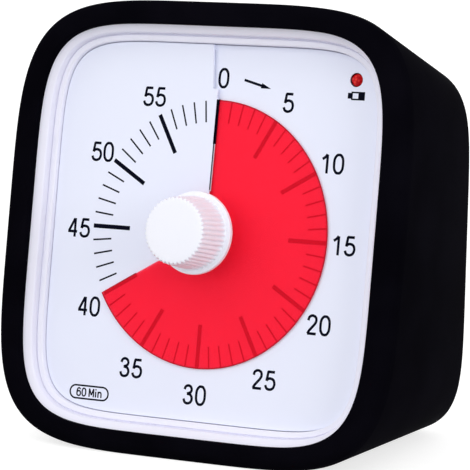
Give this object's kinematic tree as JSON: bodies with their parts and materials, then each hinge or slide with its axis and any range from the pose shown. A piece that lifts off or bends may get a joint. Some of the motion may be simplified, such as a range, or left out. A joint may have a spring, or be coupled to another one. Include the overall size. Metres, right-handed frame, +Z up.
{
  "type": "visual countdown timer",
  "caption": "Free-standing visual timer: red disc turns through a slit in a white dial to show the minutes left, set by a central knob; black soft sleeve over a leaning white case.",
  "frame": {"origin": "middle of the flat underside, on the table, on the centre line between the sides", "axes": "+X to the right seen from the front, +Y from the dial to the back, +Z up; the dial leans back 9.8 degrees from upright"},
  "size_m": [0.088, 0.0537, 0.0875],
  "materials": {
    "sleeve_silicone": "matte silicone",
    "housing_plastic": "satin moulded ABS",
    "dial_white": "satin sheet",
    "disc_red": "satin sheet",
    "knob_white": "satin moulded ABS",
    "led_red": "clear tinted epoxy",
    "steel": "plated",
    "spring_brass": "bright",
    "movement_plastic": "natural moulded",
    "gear_plastic": "natural acetal",
    "magnet": "sintered",
    "bobbin_plastic": "moulded",
    "copper_wire": "enamelled copper",
    "pcb_green": "solder mask",
    "black_plastic": "moulded",
    "cell_jacket": "printed film"
  },
  "bodies": {
    "case": {"protective_sleeve": "sleeve_silicone", "front_housing": "housing_plastic", "rear_housing": "housing_plastic", "housing_screws": "steel", "dial_plate": "dial_white", "dial_screws": "steel", "low_battery_led": "led_red", "movement_base": "movement_plastic", "movement_cover": "movement_plastic", "movement_screws": "steel", "stator": "steel", "coil_bobbin": "bobbin_plastic", "coil_winding": "copper_wire", "alarm_contact": "spring_brass", "main_pcb": "pcb_green", "controller_chip": "black_plastic", "quartz_crystal": "steel", "buzzer": "black_plastic", "pcb_screws": "steel", "volume_switch_body": "black_plastic", "alarm_length_switch_body": "black_plastic", "battery_cell_1": "cell_jacket", "battery_cell_2": "cell_jacket", "battery_springs": "steel", "battery_plates": "steel"},
    "knob_group": {"knob": "knob_white", "spindle": "steel", "clutch_spring": "spring_brass", "alarm_cam": "gear_plastic"},
    "disc_group": {"disc_hub": "disc_red", "time_disc": "disc_red"},
    "battery_door": {"battery_door": "housing_plastic"},
    "volume_slider": {"volume_slider": "black_plastic"},
    "alarm_length_slider": {"alarm_length_slider": "black_plastic"},
    "center_wheel": {"center_wheel": "gear_plastic"},
    "third_wheel": {"third_wheel": "gear_plastic"},
    "second_wheel": {"second_wheel": "gear_plastic"},
    "rotor": {"rotor": "magnet"}
  },
  "joints": [
    {"name": "knob_turn", "type": "hinge", "parent": "case", "child": "knob_group", "pos_m": [0, -0.0127, 0.04261], "axis": [0, 0.9854, -0.1702], "range_deg": [-240, 120]},
    {"name": "disc_climb", "type": "slide", "parent": "knob_group", "child": "disc_group", "axis": [0, -0.9854, 0.1702], "range_m": [-0.00067, 0.00033]},
    {"name": "battery_door_hinge", "type": "hinge", "parent": "case", "child": "battery_door", "pos_m": [0, 0.02392, 0.0094], "axis": [-1, 0, 0], "range_deg": [0, 95]},
    {"name": "volume_slide", "type": "slide", "parent": "case", "child": "volume_slider", "axis": [1, 0, 0], "range_m": [-0.0035, 0.0035]},
    {"name": "alarm_length_slide", "type": "slide", "parent": "case", "child": "alarm_length_slider", "axis": [1, 0, 0], "range_m": [0, 0.004]},
    {"name": "second_wheel_spin", "type": "hinge", "parent": "case", "child": "second_wheel", "pos_m": [-0.01162, -0.00293, 0.02868], "axis": [0, 0.9854, -0.1702], "continuous": true},
    {"name": "rotor_spin", "type": "hinge", "parent": "case", "child": "rotor", "pos_m": [-0.0046, -0.00336, 0.02616], "axis": [0, 0.9854, -0.1702], "continuous": true},
    {"name": "third_wheel_spin", "type": "hinge", "parent": "case", "child": "third_wheel", "pos_m": [-0.01015, -0.0015, 0.03693], "axis": [0, 0.9854, -0.1702], "continuous": true},
    {"name": "center_wheel_spin", "type": "hinge", "parent": "case", "child": "center_wheel", "pos_m": [0, -0.00482, 0.04125], "axis": [0, 0.9854, -0.1702], "continuous": true}
  ],
  "couplings": [
    {"joint": "knob_turn", "follows": "disc_climb", "rad_per_m": 6283.2},
    {"joint": "rotor_spin", "follows": "second_wheel_spin", "ratio": -7.5},
    {"joint": "third_wheel_spin", "follows": "second_wheel_spin", "ratio": -0.13333},
    {"joint": "center_wheel_spin", "follows": "second_wheel_spin", "ratio": 0.016667}
  ]
}
